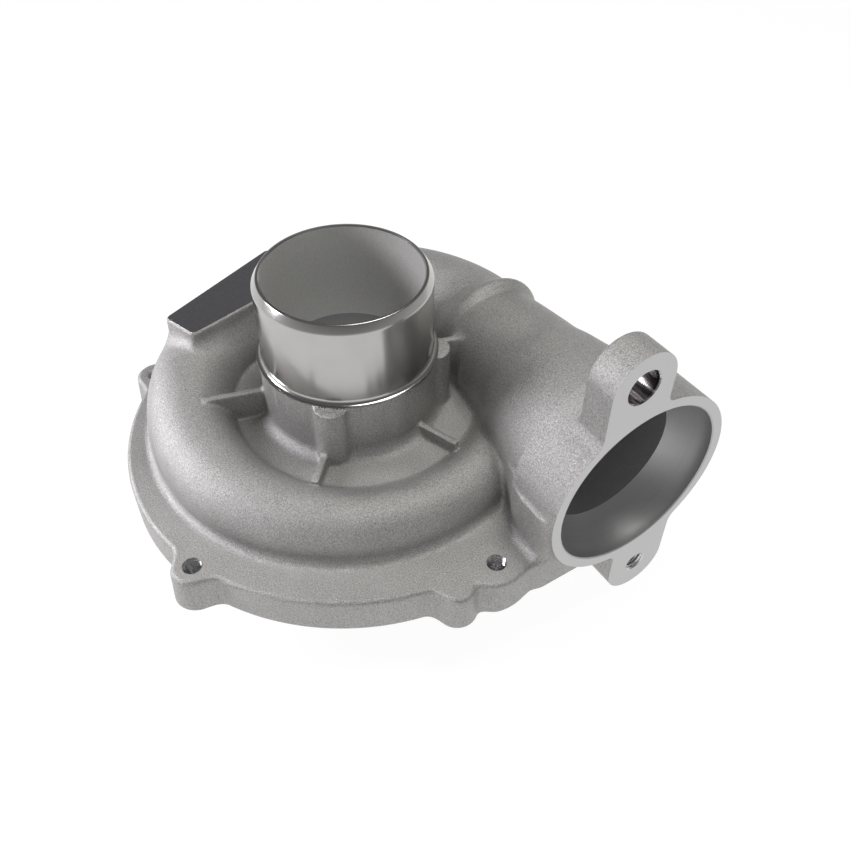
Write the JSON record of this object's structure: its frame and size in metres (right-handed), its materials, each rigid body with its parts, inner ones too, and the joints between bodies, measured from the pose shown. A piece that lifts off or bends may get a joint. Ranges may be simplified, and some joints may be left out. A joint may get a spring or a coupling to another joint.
{
  "type": "turbo compressor housing",
  "caption": "Cast centrifugal compressor housing with a turned inlet spigot, a volute that grows round the wheel axis and a tangential outlet with a two-ear flange.",
  "frame": {"origin": "on the wheel's axis, in the plane of the mounting flange's underside, at the mouth of the register bore", "axes": "+Z along the wheel's axis, out of the inlet spigot; +X out of the outlet; +Y completes the frame and points from the wheel's axis to the outlet's side"},
  "size_m": [0.2257, 0.2218, 0.1488],
  "materials": {
    "cast_aluminium": "fine blasted casting, machined bright at the inlet spigot, outlet face, bores and holes"
  },
  "bodies": {
    "root": {"compressor_housing": "cast_aluminium"}
  },
  "joints": []
}
